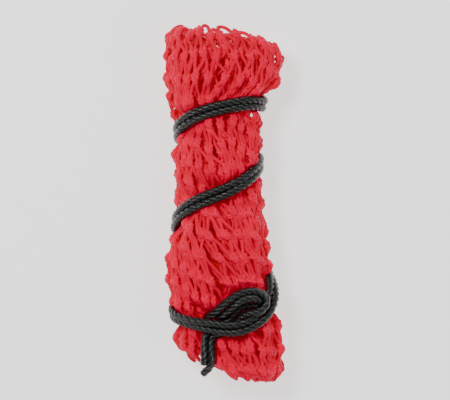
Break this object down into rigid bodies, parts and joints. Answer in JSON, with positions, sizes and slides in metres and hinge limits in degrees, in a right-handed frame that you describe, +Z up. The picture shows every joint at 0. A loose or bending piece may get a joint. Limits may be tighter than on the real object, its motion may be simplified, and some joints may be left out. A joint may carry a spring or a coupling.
{
  "type": "bundled knotted net with drawcord",
  "caption": "Small-mesh knotted net folded into a long bundle, wound and hitched with its own doubled three-strand drawcord, lying on its back.",
  "frame": {"origin": "on the surface the bundle lies on, under the middle of its bounding box", "axes": "+X to the bundle's right, +Y along its length towards the fanned end, +Z up through its thickness, out of the face that the slip loop lies on"},
  "size_m": [0.116, 0.358, 0.0826],
  "materials": {
    "red_twine": "satin",
    "black_cord": "satin",
    "fused_tip": "satin"
  },
  "bodies": {
    "root": {"net_top_tuft": "red_twine", "net_upper_barrel": "red_twine", "net_lower_barrel": "red_twine", "net_bottom_tuft": "red_twine", "cord_middle_bend": "black_cord", "cord_a_windings": "black_cord", "cord_a_standing_turn": "black_cord", "cord_a_slip_loop": "black_cord", "cord_a_tail": "black_cord", "cord_b_windings": "black_cord", "cord_b_standing_turn": "black_cord", "cord_b_slip_loop": "black_cord", "cord_b_tail": "black_cord", "cord_a_melted_tip": "fused_tip", "cord_b_melted_tip": "fused_tip"}
  },
  "joints": []
}
